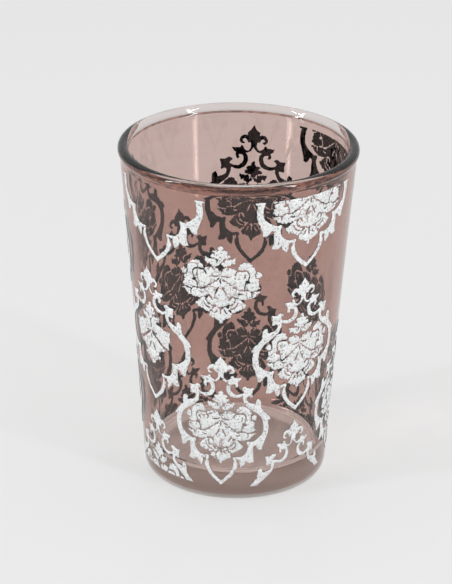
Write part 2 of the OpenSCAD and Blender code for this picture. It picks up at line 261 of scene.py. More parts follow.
def glass_profile():
    """The section of the glass: points, and the lustre, back and front, with the bead's painted shade,
    and roughness of each run.
    """
    heel_mid = (wall_r(HEEL_R) - HEEL_R, HEEL_R)
    ring_in_r = heel_mid[0] - FOOT_RING_W
    corner_z = BASE_T + FLOOR_CORNER_R
    corner_mid = (wall_r(corner_z) - WALL_T - FLOOR_CORNER_R, corner_z)
    hollow_shares = [i / HOLLOW_STEPS for i in range(HOLLOW_STEPS + 1)]
    hollow = [(ring_in_r * s, HOLLOW_H * (1 - s ** 2)) for s in hollow_shares]
    bare = hollow + arc(heel_mid, HEEL_R, -90, 0, HEEL_STEPS)
    coated = wall_points(COAT_FOOT_Z, COAT_TOP_Z, COAT_T, COAT_STEPS)
    bead = arc(BEAD_MID, BEAD_R, BEAD_START_A, 180, BEAD_STEPS)
    inside = wall_points(BEAD_MID[1] - BEAD_INSIDE_GAP, corner_z, -WALL_T, INSIDE_STEPS)
    floor = arc(corner_mid, FLOOR_CORNER_R, FLOOR_CORNER_TOP_A, -90, CORNER_STEPS)
    floor += [(corner_mid[0] * s, BASE_T) for s in INSIDE_FLOOR_SHARES]
    lustre = [(0.0, 0.0)] * len(bare) + [(WALL_LUSTRE, WALL_LUSTRE)] * (len(coated) - 1) + [(1.0, 1.0)]
    bead_run_a = (180 - BEAD_START_A) / BEAD_STEPS
    lustre += [bead_lustre_and_painted_shade(BEAD_START_A + bead_run_a * (i + 0.5)) for i in range(BEAD_STEPS)]
    lustre += [(0.0, 0.0)] * (len(inside) + len(floor))
    points = bare + coated + bead + inside + floor
    rough = [UNDERSIDE_ROUGHNESS] * len(hollow) + [0.0] * (len(points) - len(hollow))
    return points, lustre, rough


def make_mesh(name, verts, faces, slots, materials):
    """A piece from points in millimetres, with a material slot for each face."""
    mesh = bpy.data.meshes.new(name)
    mesh.from_pydata([Vector(v) * MM for v in verts], [], faces)
    for material in materials:
        mesh.materials.append(material)
    mesh.polygons.foreach_set("material_index", slots)
    mesh.polygons.foreach_set("use_smooth", [True] * len(faces))
    mesh.validate()
    mesh.update()
    piece = bpy.data.objects.new(name, mesh)
    bpy.context.scene.collection.objects.link(piece)
    return piece


def make_glass(material):
    """The whole glass turned from its section as one closed skin, marked where it carries the lustre."""
    points, lustre, rough = glass_profile()
    turns = [2 * math.pi * i / TURN_STEPS for i in range(TURN_STEPS)]
    verts = []
    rings = []
    for r, z in points:
        if r < TINY:
            rings.append([len(verts)])
            verts.append((0, 0, z))
            continue
        rings.append(range(len(verts), len(verts) + TURN_STEPS))
        verts += [(r * math.cos(a), r * math.sin(a), z) for a in turns]
    faces = []
    lustre_marks = []
    rough_marks = []
    for ring, above, (at_back, at_front), roughness in zip(rings, rings[1:], lustre, rough):
        for i, a in enumerate(turns):
            j = (i + 1) % TURN_STEPS
            if len(ring) == 1:
                faces.append((ring[0], above[j], above[i]))
            elif len(above) == 1:
                faces.append((ring[i], ring[j], above[0]))
            else:
                faces.append((ring[i], ring[j], above[j], above[i]))
            # The bead's painted shade lies on the front, and the back keeps a paler veil
            lustre_marks.append(at_back + (at_front - at_back) * painted_front_share(a))
            rough_marks.append(roughness)
    glass = make_mesh("glass", verts, faces, [0] * len(faces), [material])
    glass.data.attributes.new("lustre", "FLOAT", "FACE").data.foreach_set("value", lustre_marks)
    glass.data.attributes.new("roughness", "FLOAT", "FACE").data.foreach_set("value", rough_marks)
    return glass


# Motifs of the damask
# A point is a share of the width of a column, from the middle of the motif, and a share of the
# repeat, from the toe of the frame. In an outline, a third number of 1 marks a corner. In a
# scroll, the third number is half the width of the line, as a share of the repeat.
BUD = [(0, 0.916, 1), (0.018, 0.897), (0.046, 0.879), (0.071, 0.866, 1), (0.073, 0.842, 1),
       (0.048, 0.810), (0.029, 0.785), (0.024, 0.772, 1), (0, 0.770, 1)]
CROWN_CURL = [(0.045, 0.805, 0.012), (0.073, 0.832, 0.013), (0.108, 0.839, 0.0125),
              (0.141, 0.830, 0.010), (0.152, 0.812, 0.008), (0.134, 0.799, 0.006),
              (0.108, 0.797, 0.003)]
FIRST_SCROLL = [(0.008, 0.790, 0.012), (0.026, 0.762, 0.0075), (0.047, 0.746, 0.0065),
                (0.075, 0.739, 0.0065), (0.105, 0.743, 0.009), (0.145, 0.750, 0.014)]
FIRST_LEAF = [(0.125, 0.772), (0.146, 0.779), (0.163, 0.766, 1), (0.210, 0.765), (0.254, 0.767, 1),
              (0.236, 0.748), (0.200, 0.731, 1), (0.150, 0.724), (0.116, 0.738)]
FIRST_HOOK = [(0.165, 0.740, 0.014), (0.191, 0.724, 0.010), (0.196, 0.709, 0.0085),
              (0.183, 0.697, 0.006)]
SECOND_SCROLL = [(0.170, 0.731, 0.011), (0.130, 0.728, 0.011), (0.103, 0.714, 0.0115),
                 (0.093, 0.694, 0.0130), (0.099, 0.672, 0.0135), (0.125, 0.649, 0.0135),
                 (0.172, 0.636, 0.0120), (0.218, 0.635, 0.0105), (0.255, 0.641, 0.009),
                 (0.295, 0.650, 0.009)]
SECOND_LEAF = [(0.256, 0.686, 1), (0.270, 0.697), (0.305, 0.701), (0.340, 0.689), (0.406, 0.691, 1),
               (0.391, 0.655), (0.396, 0.633, 1), (0.382, 0.623, 1), (0.335, 0.628), (0.314, 0.610, 1),
               (0.280, 0.610, 1), (0.285, 0.668)]
SIDE_SCROLL = [(0.300, 0.640, 0.013), (0.299, 0.618, 0.0118), (0.307, 0.599, 0.0118),
               (0.326, 0.581, 0.013), (0.355, 0.568, 0.0155), (0.395, 0.557, 0.021),
               (0.445, 0.541, 0.023), (0.498, 0.514, 0.0205), (0.540, 0.487, 0.0190),
               (0.570, 0.452, 0.0175), (0.583, 0.405, 0.0175), (0.577, 0.362, 0.0180),
               (0.553, 0.328, 0.0190), (0.520, 0.306, 0.0190)]
SIDE_LEAF = [(0.438, 0.575, 1), (0.448, 0.600), (0.470, 0.607), (0.501, 0.593), (0.506, 0.563),
             (0.513, 0.552, 1), (0.488, 0.530, 1), (0.440, 0.550, 1)]
SPUR = [(0.570, 0.502, 1), (0.605, 0.483), (0.638, 0.456, 1), (0.598, 0.446, 1), (0.570, 0.460, 1)]
HIP_LEAF = [(0.592, 0.334, 1), (0.568, 0.292), (0.550, 0.266), (0.547, 0.241, 1), (0.515, 0.236),
            (0.484, 0.247), (0.450, 0.273), (0.405, 0.270, 1), (0.400, 0.300, 1), (0.470, 0.319),
            (0.520, 0.345, 1)]
BRACKET = [(0.336, 0.299, 1), (0.360, 0.306), (0.385, 0.299), (0.432, 0.308, 1), (0.440, 0.271, 1),
           (0.423, 0.270, 1), (0.423, 0.235), (0.421, 0.190), (0.441, 0.153, 1), (0.390, 0.146),
           (0.352, 0.153), (0.327, 0.167, 1), (0.318, 0.142), (0.292, 0.127), (0.266, 0.115, 1),
           (0.250, 0.135), (0.244, 0.174, 1), (0.226, 0.175, 1), (0.205, 0.160, 1), (0.178, 0.162, 1),
           (0.160, 0.184), (0.175, 0.197), (0.230, 0.193), (0.290, 0.203), (0.335, 0.230),
           (0.353, 0.268)]
ARM = [(0.193, 0.185, 0.010), (0.194, 0.150, 0.0125), (0.185, 0.118, 0.0135), (0.150, 0.078, 0.0122),
       (0.103, 0.048, 0.0118), (0.055, 0.025, 0.0115), (-0.016, -0.006, 0.0115)]
PALMETTE = [(0, 0.674, 1), (0.024, 0.658), (0.028, 0.638, 1), (0.060, 0.640), (0.086, 0.630, 1),
            (0.052, 0.613, 1), (0.095, 0.611), (0.106, 0.598), (0.070, 0.588), (0.034, 0.579),
            (0.012, 0.560, 1), (0, 0.557, 1)]
CURL_LEAF = [(0.012, 0.546, 1), (0.028, 0.568), (0.070, 0.580), (0.120, 0.580), (0.168, 0.590, 1),
             (0.160, 0.566), (0.145, 0.551, 1), (0.120, 0.557, 1), (0.100, 0.538), (0.060, 0.532),
             (0.032, 0.537)]
ROSE = [(0.022, 0.500, 1), (0.055, 0.521), (0.120, 0.523), (0.192, 0.507, 1), (0.200, 0.530),
        (0.235, 0.556), (0.290, 0.561), (0.350, 0.540), (0.400, 0.492, 1), (0.435, 0.494),
        (0.458, 0.471), (0.424, 0.450, 1), (0.426, 0.415), (0.443, 0.384, 1), (0.395, 0.370),
        (0.340, 0.367), (0.300, 0.381), (0.240, 0.377), (0.200, 0.385), (0.120, 0.413), (0.040, 0.447),
        (0.018, 0.470)]
ROSE_SLOT = [(0.184, 0.509, 0.006), (0.225, 0.506, 0.006), (0.285, 0.507, 0.005), (0.314, 0.492, 0.004),
             (0.322, 0.472, 0.003), (0.314, 0.455, 0.003), (0.306, 0.436, 0.004)]
ROSE_EYE = [(0.280, 0.438, 0.004), (0.303, 0.430, 0.010), (0.330, 0.423, 0.004)]
ROSE_VEIN = [(0.160, 0.474, 0.005), (0.172, 0.490, 0.004), (0.195, 0.510, 0.004)]
ROSE_RIB = [(0.024, 0.469, 0.003), (0.068, 0.465, 0.0045), (0.116, 0.464, 0.002)]
ROSE_FOLD = [(0.290, 0.430, 0.003), (0.272, 0.408, 0.0035), (0.262, 0.375, 0.003)]
ROSE_BUTTON = [(0.398, 0.512, 0.003), (0.388, 0.484, 0.0035), (0.394, 0.456, 0.003),
               (0.440, 0.450, 0.004)]
ROSE_NICK = [(0.098, 0.530, 0.004), (0.088, 0.518, 0.0035), (0.070, 0.508, 0.003)]
ROSE_FRAY = [(0.268, 0.482, 0.003), (0.272, 0.468, 0.0035), (0.262, 0.452, 0.002)]
LEAF_NICK = [(0.052, 0.585, 0.002), (0.040, 0.570, 0.0045), (0.046, 0.556, 0.002)]
STEM_SLIT = [(0.000, 0.452, 0.003), (-0.003, 0.432, 0.005), (0.001, 0.415, 0.002)]
CALYX_VEIN = [(0.014, 0.397, 0.002), (0.040, 0.372, 0.005), (0.064, 0.343, 0.003)]
CALYX_NICK = [(0.190, 0.352, 0.002), (0.215, 0.346, 0.0045), (0.246, 0.353, 0.003)]
CALYX_FOLD = [(0.345, 0.356, 0.003), (0.352, 0.343, 0.003), (0.345, 0.332, 0.002)]
CURL_EYE = [(0.140, 0.334, 0.004), (0.114, 0.322, 0.006), (0.094, 0.302, 0.003)]
LOW_LEAF_VEIN = [(0.112, 0.247, 0.003), (0.150, 0.251, 0.004), (0.183, 0.267, 0.0035),
                 (0.200, 0.290, 0.002)]
TAIL_SLIT = [(0.000, 0.250, 0.004), (0.000, 0.230, 0.0045), (0.001, 0.211, 0.002)]
TAIL_NICK = [(0.038, 0.242, 0.002), (0.046, 0.232, 0.0035), (0.058, 0.218, 0.0035),
             (0.078, 0.215, 0.002)]
BRACKET_SLIT = [(0.205, 0.181, 0.002), (0.210, 0.168, 0.0035), (0.212, 0.152, 0.003)]
CALYX = [(0, 0.505, 1), (0.010, 0.480), (0.012, 0.455, 1), (0.032, 0.437, 1), (0.105, 0.408),
         (0.180, 0.378), (0.235, 0.366), (0.300, 0.371), (0.345, 0.356), (0.400, 0.361),
         (0.455, 0.361, 1), (0.400, 0.341), (0.375, 0.324), (0.300, 0.312), (0.225, 0.315),
         (0.170, 0.328), (0.128, 0.330, 1), (0.150, 0.317), (0.155, 0.295), (0.115, 0.276),
         (0.062, 0.268), (0.020, 0.256, 1), (0, 0.264, 1)]
LOW_LEAF = [(0.172, 0.320, 1), (0.215, 0.311), (0.245, 0.294), (0.292, 0.270, 1), (0.255, 0.247),
            (0.200, 0.236), (0.145, 0.219, 1), (0.096, 0.246), (0.100, 0.261), (0.150, 0.276),
            (0.172, 0.295)]
TAIL = [(0, 0.142, 1), (0.018, 0.152), (0.022, 0.166, 1), (0.056, 0.170, 1), (0.060, 0.180, 1),
        (0.105, 0.184), (0.131, 0.200), (0.115, 0.222, 1), (0.094, 0.226), (0.083, 0.245),
        (0.045, 0.257), (0.015, 0.243, 1), (0, 0.246, 1)]
SMALL_LEAF = [(0.012, 0.546, 1), (0.050, 0.544), (0.120, 0.530), (0.190, 0.528, 1), (0.240, 0.510, 1),
              (0.345, 0.511, 1), (0.325, 0.485), (0.330, 0.446, 1), (0.302, 0.425), (0.300, 0.386, 1),
              (0.215, 0.402), (0.130, 0.434), (0.022, 0.478), (0.012, 0.500)]
SMALL_CALYX = [(0, 0.505, 1), (0.010, 0.480), (0.012, 0.460, 1), (0.100, 0.423), (0.190, 0.390),
               (0.245, 0.371, 1), (0.205, 0.358), (0.175, 0.360, 1), (0.130, 0.332, 1),
               (0.120, 0.318, 1), (0.155, 0.300, 1), (0.120, 0.286), (0.085, 0.285, 1), (0.050, 0.262),
               (0.020, 0.240, 1), (0, 0.248, 1)]


def bend(a, b, c, d, t):
    """A point on the curve from b to c that runs on through a and d."""
    return tuple((2 * q + (r - p) * t + (2 * p - 5 * q + 4 * r - s) * t * t
                  + (3 * q - p - 3 * r + s) * t * t * t) / 2 for p, q, r, s in zip(a, b, c, d))


def flat(point):
    """A share point in millimetres."""
    return (point[0] * COLUMN_W, point[1] * REPEAT_H)


def outline(shares):
    """A closed outline, rounded but for its corners."""
    n = len(shares)
    points = []
    for i, b in enumerate(shares):
        c = shares[(i + 1) % n]
        sharp_b = len(b) > 2
        sharp_c = len(c) > 2
        a = b if sharp_b else shares[i - 1]
        d = c if sharp_c else shares[(i + 2) % n]
        runs = 1 if sharp_b and sharp_c else CURVE_RUNS
        points += [bend(flat(a), flat(b), flat(c), flat(d), j / runs) for j in range(runs)]
    return points


def scroll(shares):
    """The outline of a line of changing width along a curve."""
    knots = [(p[0] * COLUMN_W, p[1] * REPEAT_H, p[2] * REPEAT_H) for p in shares]
    n = len(knots)
    line = [bend(knots[max(i - 1, 0)], knots[i], knots[i + 1], knots[min(i + 2, n - 1)], j / CURVE_RUNS)
            for i in range(n - 1) for j in range(CURVE_RUNS)] + [knots[-1]]
    left = []
    right = []
    for i, (x, y, half) in enumerate(line):
        before, after = line[max(i - 1, 0)], line[min(i + 1, len(line) - 1)]
        along = Vector((after[0] - before[0], after[1] - before[1])).normalized()
        left.append((x - along.y * half, y + along.x * half))
        right.append((x + along.y * half, y - along.x * half))
    return left + right[::-1]


def whole(half):
    """A whole outline from its right half, whose ends lie on the middle line."""
    return half + [(-p[0],) + tuple(p[1:]) for p in reversed(half) if p[0] > 0]


def pair(points):
    """An outline and its mirror image."""
    return [points, [(-x, y) for x, y in points]]


def frame_outlines():
    """The frame: a bud over scrolls and leaves, down to arms that meet in a toe."""
    shapes = [outline(whole(BUD))]
    for shares in (CROWN_CURL, FIRST_SCROLL, FIRST_HOOK, SECOND_SCROLL, SIDE_SCROLL, ARM):
        shapes += pair(scroll(shares))
    for shares in (FIRST_LEAF, SECOND_LEAF, SIDE_LEAF, SPUR, HIP_LEAF, BRACKET):
        shapes += pair(outline(shares))
    return shapes, pair(scroll(BRACKET_SLIT))


def bouquet_outlines():
    """The bouquet: palmettes, curled leaves and roses parted by thin lines."""
    shapes = [outline(whole(shares)) for shares in (PALMETTE, CALYX, TAIL)]
    for shares in (CURL_LEAF, LOW_LEAF, ROSE):
        shapes += pair(outline(shares))
    cuts = [scroll(STEM_SLIT), scroll(TAIL_SLIT)]
    for shares in (ROSE_SLOT, ROSE_EYE, ROSE_VEIN, ROSE_RIB, ROSE_FOLD, ROSE_BUTTON, ROSE_NICK, ROSE_FRAY,
                   LEAF_NICK, CALYX_VEIN, CALYX_NICK, CALYX_FOLD, CURL_EYE, LOW_LEAF_VEIN, TAIL_NICK):
        cuts += pair(scroll(shares))
    return shapes, cuts


def small_bouquet_outlines():
    """The small bouquet: leaves over a calyx, without the roses."""
    shapes = [outline(whole(shares)) for shares in (PALMETTE, SMALL_CALYX)]
    for shares in (CURL_LEAF, SMALL_LEAF):
        shapes += pair(outline(shares))
    return shapes, [scroll(STEM_SLIT)] + pair(scroll(CALYX_VEIN)) + pair(scroll(ROSE_RIB))


def double_area(points):
    """Twice the area of an outline, positive where it runs counter-clockwise."""
    return sum(p[0] * q[1] - q[0] * p[1] for p, q in zip(points, points[1:] + points[:1]))


def worn(points, seed, lobe_h):
    """An outline with small lobes, and with the chips and wavering of a fired print."""
    points = points if double_area(points) > 0 else points[::-1]
    out = []
    along = 0
    for a, b in zip(points, points[1:] + points[:1]):
        run = math.dist(a, b)
        if run < TINY:
            continue
        steps = max(1, round(run / EDGE_STEP))
        away = ((b[1] - a[1]) / run, (a[0] - b[0]) / run)
        for i in range(steps):
            x = a[0] + (b[0] - a[0]) * i / steps
            y = a[1] + (b[1] - a[1]) * i / steps
            coarse = noise.noise_vector(Vector((x * COARSE_WAVES, y * COARSE_WAVES, seed)))
            fine = noise.noise_vector(Vector((x * FINE_WAVES, y * FINE_WAVES, seed + FINE_SEED_STEP)))
            phase = math.pi * (along + run * i / steps) / LOBE_STEP + LOBE_DRIFT * coarse.z
            push = lobe_h * (abs(math.sin(phase)) - LOBE_MIDDLE)
            out.append((x + WAVE_H * coarse.x + WAVE_H * fine.x + push * away[0],
                        y + WAVE_H * coarse.y + WAVE_H * fine.y + push * away[1]))
        along += run
    return out if double_area(out) > 0 else out[::-1]


def flat_print(shapes, cuts, lobe_h, low, high, seed):
    """The union of the shapes less the cuts between two heights: points and triangles."""
    reach = MOTIF_SIDE_SHARE * COLUMN_W
    if lobe_h is None:
        polygons = [s if double_area(s) > 0 else s[::-1] for s in shapes + cuts]
    else:
        polygons = [worn(s, seed, lobe_h) for s in shapes]
        polygons += [worn(c, seed, FRAME_LOBE_H) for c in cuts]
    polygons.append([(-reach, low), (reach, low), (reach, high), (-reach, high)])
    verts = []
    loops = []
    for polygon in polygons:
        loops.append(list(range(len(verts), len(verts) + len(polygon))))
        verts += [Vector(p) for p in polygon]
    rows = int((high - low) / GRID_STEP)
    across = int(reach / GRID_STEP)
    shift_x, shift_y = GRID_SHIFT_SHARES
    verts += [Vector((GRID_STEP * (i + shift_x), low + GRID_STEP * (j + shift_y)))
              for i in range(-across, across) for j in range(rows)]
    joined = geometry.delaunay_2d_cdt(verts, [], loops, INSIDE_ONLY, JOIN_GAP, True)
    points, _, triangles, _, _, sources = joined
    clip = len(polygons) - 1
    kept = []
    for triangle, source in zip(triangles, sources):
        ids = set(source)
        drawn = any(i < len(shapes) for i in ids)
        cut = any(len(shapes) <= i < clip for i in ids)
        if drawn and not cut and clip in ids:
            kept.append(tuple(triangle))
    return points, kept


def printed_area(points, triangles):
    """The area of a flat print."""
    return sum(double_area([points[i] for i in t]) for t in triangles) / 2


def sound_print(shapes, cuts, lobe_h, low, high, seed):
    """A worn print whose area stays near that of its plain outlines: a spoilt one is worn afresh."""
    plain = printed_area(*flat_print(shapes, cuts, None, low, high, seed))
    for attempt in range(WEAR_TRIES):
        points, triangles = flat_print(shapes, cuts, lobe_h, low, high, seed + RETRY_SEED_STEP * attempt)
        if abs(printed_area(points, triangles) / plain - 1) < AREA_LEEWAY:
            return points, triangles
    return flat_print(shapes, cuts, None, low, high, seed)


def raised_print(points, triangles, place_a, toe_z, verts, faces, slots):
    """Wraps a flat print round the wall as a thin solid: silver outside, dark on the glass side."""
    ends = {}
    for t in triangles:
        for a, b in zip(t, t[1:] + t[:1]):
            if (b, a) in ends:
                del ends[(b, a)]
            else:
                ends[(a, b)] = True
    outward = {}
    for a, b in ends:
        side = Vector((points[b].y - points[a].y, points[a].x - points[b].x))
        if side.length > 0:
            side.normalize()
        for i in (a, b):
            outward[i] = outward.get(i, Vector((0, 0))) + side
    used = sorted({i for t in triangles for i in t})
    index = {i: len(verts) + 2 * k for k, i in enumerate(used)}
    for i in used:
        x, y = points[i]
        push = outward.get(i, Vector((0, 0)))
        if push.length > 0:
            push = push.normalized() * UNDERPRINT_W
        proud = SILVER_EDGE_PROUD if i in outward else SILVER_PROUD
        for px, py, off in ((x, y, proud), (x + push.x, y + push.y, -SILVER_SUNK)):
            a = math.radians(place_a + px / COLUMN_W * COLUMN_A)
            r = wall_r(toe_z + py) + COAT_T + off
            verts.append((r * math.sin(a), -r * math.cos(a), toe_z + py))
    for t in triangles:
        faces.append(tuple(index[i] for i in t))
        slots.append(OUTER_SLOT)
        faces.append(tuple(index[i] + 1 for i in reversed(t)))
        slots.append(UNDER_SLOT)
    for a, b in ends:
        faces.append((index[b], index[a], index[a] + 1, index[b] + 1))
        slots.append(UNDER_SLOT)


def make_row(name, toe_z, groups, silver, underprint):
    """One row of the print: each group has its outlines and the places where they stand."""
    verts = []
    faces = []
    slots = []
    for outlines, places in groups:
        for place in places:
            shapes, cuts = outlines()
            low = max(PRINT_FOOT_Z - toe_z, -MOTIF_FOOT_SHARE * REPEAT_H)
            high = min(PRINT_TOP_Z - toe_z, MOTIF_TOP_SHARE * REPEAT_H)
            seed = toe_z + PLACE_SEED_STEP * place
            lobe_h = FRAME_LOBE_H if outlines is frame_outlines else LEAF_LOBE_H
            points, triangles = sound_print(shapes, cuts, lobe_h, low, high, seed)
            raised_print(points, triangles, FIRST_COLUMN_A + place * COLUMN_A, toe_z, verts, faces, slots)
    return make_mesh(name, verts, faces, slots, [silver, underprint])


def new_material(name):
    """A material with its node tree, its shader and its output."""
    material = bpy.data.materials.new(name)
    material.use_nodes = True
    nodes = material.node_tree.nodes
    return material, nodes, material.node_tree.links, nodes["Principled BSDF"], nodes["Material Output"]


def add_noise(nodes, links, kind):
    """Noise on the object's own coordinates: waves a metre, detail and the squeeze of each axis."""
    waves, detail, squeeze = kind
    where = nodes.new("ShaderNodeTexCoord")
    mapping = nodes.new("ShaderNodeMapping")
    mapping.inputs["Scale"].default_value = squeeze
    texture = nodes.new("ShaderNodeTexNoise")
    texture.inputs["Scale"].default_value = waves
    texture.inputs["Detail"].default_value = detail
    links.new(where.outputs["Object"], mapping.inputs["Vector"])
    links.new(mapping.outputs["Vector"], texture.inputs["Vector"])
    return texture.outputs["Fac"]


def add_ramp(nodes, links, source, stops):
    """A colour ramp over a source, from stops that are each a place and a colour."""
    ramp = nodes.new("ShaderNodeValToRGB")
    while len(ramp.color_ramp.elements) < len(stops):
        ramp.color_ramp.elements.new(0.5)
    for element, (place, colour) in zip(ramp.color_ramp.elements, stops):
        element.position = place
        element.color = (*colour, 1)
    links.new(source, ramp.inputs["Fac"])
    return ramp.outputs["Color"]


def add_pattern(nodes, links, kind, stops):
    """A colour ramp over a noise."""
    return add_ramp(nodes, links, add_noise(nodes, links, kind), stops)


def add_bump(nodes, links, source, strength, height):
    """A bump of a height in millimetres."""
    bump = nodes.new("ShaderNodeBump")
    bump.inputs["Strength"].default_value = strength
    bump.inputs["Distance"].default_value = height * MM
    links.new(source, bump.inputs["Height"])
    return bump.outputs["Normal"]


def add_product(nodes, links, first, second):
    """One colour multiplied by another."""
    mix = nodes.new("ShaderNodeMix")
    mix.data_type = "RGBA"
    mix.blend_type = "MULTIPLY"
    mix.inputs["Factor"].default_value = 1
    links.new(first, mix.inputs["A"])
    links.new(second, mix.inputs["B"])
    return mix.outputs["Result"]


def add_mix(nodes, links, factor, first, second):
    """A mix of two colours by a factor."""
    mix = nodes.new("ShaderNodeMix")
    mix.data_type = "RGBA"
    links.new(factor, mix.inputs["Factor"])
    links.new(first, mix.inputs["A"])
    links.new(second, mix.inputs["B"])
    return mix.outputs["Result"]


def glass_material():
    """Pressed glass: clear, very slightly wavy, tinted by its depth and by the lustre on its skin, with
    painted shade on the bead's front.
    """
    material, nodes, links, shader, output = new_material("tea_glass")
    shader.inputs["IOR"].default_value = GLASS_IOR
    shader.inputs["Transmission Weight"].default_value = 1.0
    rough = nodes.new("ShaderNodeAttribute")
    rough.attribute_name = "roughness"
    links.new(rough.outputs["Fac"], shader.inputs["Roughness"])
    lustre = nodes.new("ShaderNodeAttribute")
    lustre.attribute_name = "lustre"
    mottle = add_noise(nodes, links, MOTTLE_NOISE)
    clear = add_ramp(nodes, links, mottle, CLEAR_COLOURS)
    rose = add_ramp(nodes, links, mottle, ROSE_COLOURS)
    # Dark burnt colour: the lustre's burnt edge, and the painted shade on the bead's front
    burnt_and_shade = add_pattern(nodes, links, BURNT_AND_SHADE_NOISE, BURNT_AND_SHADE_COLOURS)
    on_wall = add_ramp(nodes, links, lustre.outputs["Fac"], [(0.0, BLACK), (WALL_LUSTRE, WHITE)])
    on_bead = add_ramp(nodes, links, lustre.outputs["Fac"], [(WALL_LUSTRE, BLACK), (1.0, WHITE)])
    skin = add_mix(nodes, links, on_bead, add_mix(nodes, links, on_wall, clear, rose), burnt_and_shade)
    links.new(skin, shader.inputs["Base Color"])
    swell = add_noise(nodes, links, SWELL_NOISE)
    links.new(add_bump(nodes, links, swell, SWELL_STRENGTH, SWELL_H), shader.inputs["Normal"])
    shade = add_ramp(nodes, links, lustre.outputs["Fac"], [(0.0, CLEAR_PASS), (WALL_LUSTRE, ROSE_PASS)])
    passing = nodes.new("ShaderNodeBsdfTransparent")
    links.new(shade, passing.inputs["Color"])
    light_path = nodes.new("ShaderNodeLightPath")
    chosen = nodes.new("ShaderNodeMixShader")
    links.new(light_path.outputs["Is Shadow Ray"], chosen.inputs["Fac"])
    links.new(shader.outputs["BSDF"], chosen.inputs[1])
    links.new(passing.outputs["BSDF"], chosen.inputs[2])
    links.new(chosen.outputs["Shader"], output.inputs["Surface"])
    absorption = nodes.new("ShaderNodeVolumeAbsorption")
    absorption.inputs["Color"].default_value = (*DEPTH_COLOUR, 1)
    absorption.inputs["Density"].default_value = DEPTH_DENSITY
    links.new(absorption.outputs["Volume"], output.inputs["Volume"])
    return material


def add_cells(nodes, links):
    """The distance from the nearest edge between irregular cells, in cells."""
    where = nodes.new("ShaderNodeTexCoord")
    drift = nodes.new("ShaderNodeTexNoise")
    drift.inputs["Scale"].default_value = 2 * CELL_WAVES
    push = nodes.new("ShaderNodeVectorMath")
    push.operation = "MULTIPLY_ADD"
    push.inputs[1].default_value = (CELL_WAVER * MM,) * 3
    cells = nodes.new("ShaderNodeTexVoronoi")
    cells.feature = "DISTANCE_TO_EDGE"
    cells.inputs["Scale"].default_value = CELL_WAVES
    links.new(where.outputs["Object"], drift.inputs["Vector"])
    links.new(drift.outputs["Color"], push.inputs[0])
    links.new(where.outputs["Object"], push.inputs[2])
    links.new(push.outputs["Vector"], cells.inputs["Vector"])
    return cells.outputs["Distance"]


def silver_material(name, gap_share):
    """Fired silver: pale and satin, with specks, rubs, hairlines and fine gaps that show the lustre."""
    material, nodes, links, shader, _ = new_material(name)
    shader.inputs["Metallic"].default_value = SILVER_METALLIC
    tone = add_pattern(nodes, links, TONE_NOISE, TONES)
    specks = add_pattern(nodes, links, SPECK_NOISE, SPECKS)
    rubs = add_pattern(nodes, links, RUB_NOISE, RUBS)
    hairlines = add_pattern(nodes, links, HAIRLINE_NOISE, HAIRLINES)
    gap_stops = [(GAP_MIDDLE_SHARE * gap_share, GAP_COLOUR), (gap_share, WHITE)]
    gaps = add_ramp(nodes, links, add_cells(nodes, links), gap_stops)
    patches = add_pattern(nodes, links, PATCH_NOISE, PATCHES)
    plain = nodes.new("ShaderNodeRGB")
    plain.outputs["Color"].default_value = (*WHITE, 1)
    colour = add_mix(nodes, links, patches, gaps, plain.outputs["Color"])
    for marks in (hairlines, rubs, specks, tone):
        colour = add_product(nodes, links, marks, colour)
    links.new(colour, shader.inputs["Base Color"])
    rough = add_pattern(nodes, links, SILVER_ROUGH_NOISE, SILVER_ROUGHNESS)
    links.new(rough, shader.inputs["Roughness"])
    grain = add_noise(nodes, links, GRAIN_NOISE)
    links.new(add_bump(nodes, links, grain, GRAIN_STRENGTH, GRAIN_H), shader.inputs["Normal"])
    return material


def underprint_material():
    """The dark side of the print, where it is fired onto the lustre."""
    material, nodes, links, shader, _ = new_material("print_underside")
    colour = add_pattern(nodes, links, UNDERPRINT_NOISE, UNDERPRINT_COLOURS)
    links.new(colour, shader.inputs["Base Color"])
    shader.inputs["Roughness"].default_value = UNDERPRINT_ROUGHNESS
    shader.inputs["Specular IOR Level"].default_value = 0.0
    return material


def add_lit_share(nodes, links):
    """How much of the floor glows evenly as it is seen, faded out towards the middle under the glass: a
    painted shade over the real shadow there.
    """
    light_path = nodes.new("ShaderNodeLightPath")
    seen = light_path.outputs["Is Camera Ray"]
    for kind in ("Is Glossy Ray", "Is Transmission Ray"):
        either = nodes.new("ShaderNodeMath")
        either.operation = "MAXIMUM"
        links.new(seen, either.inputs[0])
        links.new(light_path.outputs[kind], either.inputs[1])
        seen = either.outputs["Value"]
    where = nodes.new("ShaderNodeTexCoord")
    from_axis = nodes.new("ShaderNodeVectorMath")
    from_axis.operation = "LENGTH"
    links.new(where.outputs["Object"], from_axis.inputs[0])
    # Painted shade under the glass: the even glow fades out towards the axis
    glow_outside_painted_shade = nodes.new("ShaderNodeMapRange")
    glow_outside_painted_shade.inputs["From Min"].default_value = PAINTED_SHADE_R * MM
    glow_outside_painted_shade.inputs["From Max"].default_value = WALL_FOOT_R * MM
    glow_outside_painted_shade.inputs["To Max"].default_value = FLOOR_LIT_SHARE
    links.new(from_axis.outputs["Value"], glow_outside_painted_shade.inputs["Value"])
    share = nodes.new("ShaderNodeMath")
    share.operation = "MULTIPLY"
    links.new(seen, share.inputs[0])
    links.new(glow_outside_painted_shade.outputs["Result"], share.inputs[1])
    return share.outputs["Value"]


